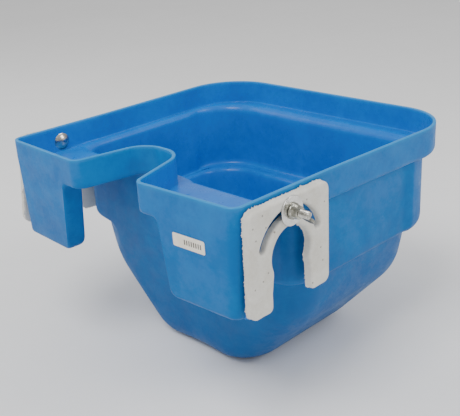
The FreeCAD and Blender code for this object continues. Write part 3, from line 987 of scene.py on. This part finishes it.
def stretched(tree, vector, x, y, z):
    """Coordinates squeezed along each axis, so that a noise in them runs in streaks."""
    node = tree.nodes.new("ShaderNodeMapping")
    node.inputs["Scale"].default_value = (x, y, z)
    tree.links.new(vector, node.inputs["Vector"])
    return node.outputs["Vector"]


# ---- materials

def moulded_blue():
    """Rotomoulded polyethylene: deep and glossy inside, hazy, scuffed and paler outside, with painted shade
    low on the outside and a pale painted highlight at the rim.
    """
    material, tree, shader, where = start_material("moulded_blue")
    cloud = use_group(tree, mottle, where, Size=16.0)
    haze = use_group(tree, mottle, where, Size=55.0)
    outside = attribute(tree, "outside")
    rim_highlight = attribute(tree, "rim_highlight")
    split = tree.nodes.new("ShaderNodeSeparateXYZ")
    tree.links.new(where, split.inputs[0])
    # Painted shade: the outside's blue is darker near the floor and lighter higher up, where light from above
    # falls.
    height = spread(tree, split.outputs["Z"], 0.03, 0.25)
    inner = blend(tree, cloud, (0.0, 0.150, 0.56), (0.0, 0.190, 0.64))
    low = blend(tree, cloud, (0.0, 0.080, 0.27), (0.0010, 0.102, 0.32))
    high = blend(tree, cloud, (0.0010, 0.125, 0.40), (0.0060, 0.165, 0.47))
    outer = blend(tree, height, low, high)
    scuff_lines = noise(tree, stretched(tree, where, 1.0, 1.0, 7.0), 60.0, 6.0, 0.75, 0.6)
    scuff = times(tree, spread(tree, scuff_lines, 0.55, 0.72), spread(tree, haze, 0.35, 0.9))
    outer = tinted(tree, outer, scuff, 0.30, (0.035, 0.24, 0.50))
    body = blend(tree, outside, inner, outer)
    # Painted highlight: where the rim's value is high, the colour turns to a paler blue.
    rim_highlight_share = math_node(tree, "MULTIPLY", rim_highlight, 0.62, clamp=True)
    colour = blend(tree, rim_highlight_share, body, (0.016, 0.30, 0.62))
    tree.links.new(colour, shader.inputs["Base Color"])
    gloss = spread(tree, haze, 0.0, 1.0, 0.26, 0.36)
    dull = spread(tree, haze, 0.0, 1.0, 0.36, 0.54)
    tree.links.new(blend(tree, outside, gloss, dull, "Float"), shader.inputs["Roughness"])
    shader.inputs["IOR"].default_value = 1.5
    tree.links.new(spread(tree, outside, 0.0, 1.0, 0.30, 0.20), shader.inputs["Specular IOR Level"])
    peel = noise(tree, where, 420.0, 3.0, 0.6)
    ripple = noise(tree, where, 34.0, 2.0, 0.5)
    add_bump(tree, shader, weighted(tree, peel, 0.05, ripple, 0.9), 0.0011, 0.55)
    return material


def sawn_board():
    """Off-white recycled board: cloudy warm grey with fibres, dark specks and a felted bump."""
    material, tree, shader, where = start_material("sawn_board")
    cloud = use_group(tree, mottle, where, Size=28.0)
    fibre = noise(tree, stretched(tree, where, 1.0, 0.35, 1.0), 900.0, 5.0, 0.7, 1.2)
    base = blend(tree, cloud, (0.62, 0.60, 0.54), (0.72, 0.71, 0.66))
    base = tinted(tree, base, spread(tree, fibre, 0.45, 0.7), 0.35, (0.82, 0.81, 0.76))
    dark = use_group(tree, specks, where, Count=210.0, Share=0.955)
    base = tinted(tree, base, dark, 0.7, (0.17, 0.15, 0.12))
    tree.links.new(base, shader.inputs["Base Color"])
    tree.links.new(spread(tree, fibre, 0.2, 0.8, 0.72, 0.92), shader.inputs["Roughness"])
    shader.inputs["IOR"].default_value = 1.45
    grain = noise(tree, where, 1500.0, 4.0, 0.7)
    dents = noise(tree, where, 160.0, 3.0, 0.6)
    add_bump(tree, shader, weighted(tree, grain, 0.35, dents, 0.65), 0.0007, 0.7)
    return material


def zinc(name, bright, dull, low_rough, high_rough, grain_size, bump, streaks=(1.0, 1.0, 1.0)):
    """Zinc-plated steel: two greys in a cloudy mix, fine streaks, and roughness that follows them."""
    material, tree, shader, where = start_material(name)
    cloud = use_group(tree, mottle, where, Size=grain_size)
    lines = noise(tree, stretched(tree, where, *streaks), 1200.0, 3.0, 0.6)
    tone = weighted(tree, cloud, 0.7, lines, 0.3)
    tree.links.new(blend(tree, tone, dull, bright), shader.inputs["Base Color"])
    tree.links.new(spread(tree, tone, 0.0, 1.0, high_rough, low_rough), shader.inputs["Roughness"])
    shader.inputs["Metallic"].default_value = 1.0
    add_bump(tree, shader, lines, bump, 0.6)
    return material


def label_film():
    """Cream label film with a row of plain dark bars, printed unevenly."""
    material, tree, shader, where = start_material("label_film")
    split = tree.nodes.new("ShaderNodeSeparateXYZ")
    tree.links.new(where, split.inputs[0])
    low, high = label_low * MM, label_high * MM
    along = spread_linear(tree, split.outputs["X"], low[0], high[0])
    up = spread_linear(tree, split.outputs["Z"], low[2], high[2])
    step = math_node(tree, "FRACT", times(tree, along, 14.0))
    bar = math_node(tree, "LESS_THAN", step, 0.52)
    block = times(tree, within(tree, along, 0.607, 0.285), within(tree, up, 0.5, 0.19))
    worn = use_group(tree, mottle, where, Size=420.0)
    ink = times(tree, times(tree, bar, block), spread(tree, worn, 0.0, 0.6, 0.80, 1.0))
    cloud = use_group(tree, mottle, where, Size=90.0)
    paper = blend(tree, cloud, (0.78, 0.73, 0.63), (0.88, 0.84, 0.74))
    tree.links.new(blend(tree, ink, paper, (0.07, 0.06, 0.05)), shader.inputs["Base Color"])
    tree.links.new(spread(tree, worn, 0.0, 1.0, 0.34, 0.5), shader.inputs["Roughness"])
    add_bump(tree, shader, noise(tree, where, 700.0, 2.0), 0.00015, 0.5)
    return material


def spread_linear(tree, value, low, high):
    """The value from low to high as 0 to 1, without a clamp."""
    return math_node(tree, "DIVIDE", math_node(tree, "SUBTRACT", value, float(low)), float(high - low))


def floor_paper():
    """Plain pale studio paper with the faintest unevenness."""
    material, tree, shader, where = start_material("floor_paper")
    cloud = use_group(tree, mottle, where, Size=3.0)
    paper = blend(tree, cloud, (0.90, 0.90, 0.90), (0.92, 0.92, 0.92))
    tree.links.new(paper, shader.inputs["Base Color"])
    shader.inputs["Roughness"].default_value = 0.9
    return material


def put_material(thing, material):
    """The piece wears this material alone."""
    thing.data.materials.clear()
    thing.data.materials.append(material)


# ---- stage

def build_stage():
    """Pale floor, soft lights, and the camera to the right of the front, a little above the rim."""
    scene = bpy.context.scene
    reach = 6000.0
    corners = [(-reach, -reach, 0), (reach, -reach, 0), (reach, reach, 0), (-reach, reach, 0)]
    floor = make_object("floor", corners, [(0, 1, 2, 3)], smooth=False)
    put_material(floor, floor_paper())
    world = scene.world or bpy.data.worlds.new("studio")
    scene.world = world
    world.use_nodes = True
    world.node_tree.nodes["Background"].inputs["Color"].default_value = (1, 1, 1, 1)
    world.node_tree.nodes["Background"].inputs["Strength"].default_value = 0.70
    for name, place, size, power in (("key", (0.3, -1.1, 1.9), 0.9, 24), ("fill", (-1.6, -0.6, 1.2), 1.2, 10),
                                     ("back", (1.5, 0.9, 1.5), 1.0, 16)):
        light = bpy.data.lights.new(name, "AREA")
        light.size = size
        light.energy = power
        lamp = bpy.data.objects.new(name, light)
        lamp.location = place
        aim = Vector((0, 0, 0.15)) - Vector(place)
        lamp.rotation_euler = aim.to_track_quat("-Z", "Y").to_euler()
        scene.collection.objects.link(lamp)
    camera_data = bpy.data.cameras.new("camera")
    camera_data.sensor_width = 36.0
    camera_data.lens = 63.34
    camera_data.clip_end = 50
    camera = bpy.data.objects.new("camera", camera_data)
    scene.collection.objects.link(camera)
    turn, tilt, roll = math.radians(45.57), math.radians(21.90), math.radians(-3.10)
    back = Vector((math.sin(turn) * math.cos(tilt), -math.cos(turn) * math.cos(tilt), math.sin(tilt)))
    right = (-back).cross(Vector((0, 0, 1))).normalized()
    up = right.cross(-back)
    side = math.cos(roll) * right + math.sin(roll) * up
    top = -math.sin(roll) * right + math.cos(roll) * up
    matrix = Matrix((side, top, back)).transposed().to_4x4()
    matrix.translation = Vector((645.3, -453.3 + FRONT, 264.8 + RIM)) * MM
    camera.matrix_world = matrix
    scene.camera = camera


put_material(build_tub(), moulded_blue())
put_material(film_label(), label_film())
board = sawn_board()
bolt_zinc = zinc("bolt_zinc", (0.82, 0.81, 0.75), (0.26, 0.25, 0.22), 0.12, 0.30, 150.0, 0.00004)
washer_zinc = zinc("washer_zinc", (0.82, 0.82, 0.80), (0.64, 0.63, 0.60), 0.20, 0.38, 180.0, 0.00005,
                   streaks=(0.3, 1.0, 1.0))
nut_zinc = zinc("nut_zinc", (0.66, 0.65, 0.57), (0.13, 0.13, 0.11), 0.16, 0.42, 170.0, 0.00012)
for side in ("left", "right"):
    put_material(clamp_plate(side), board)
    put_material(coach_bolt(side), bolt_zinc)
    put_material(penny_washer(side), washer_zinc)
    put_material(wing_nut(side), nut_zinc)
build_stage()
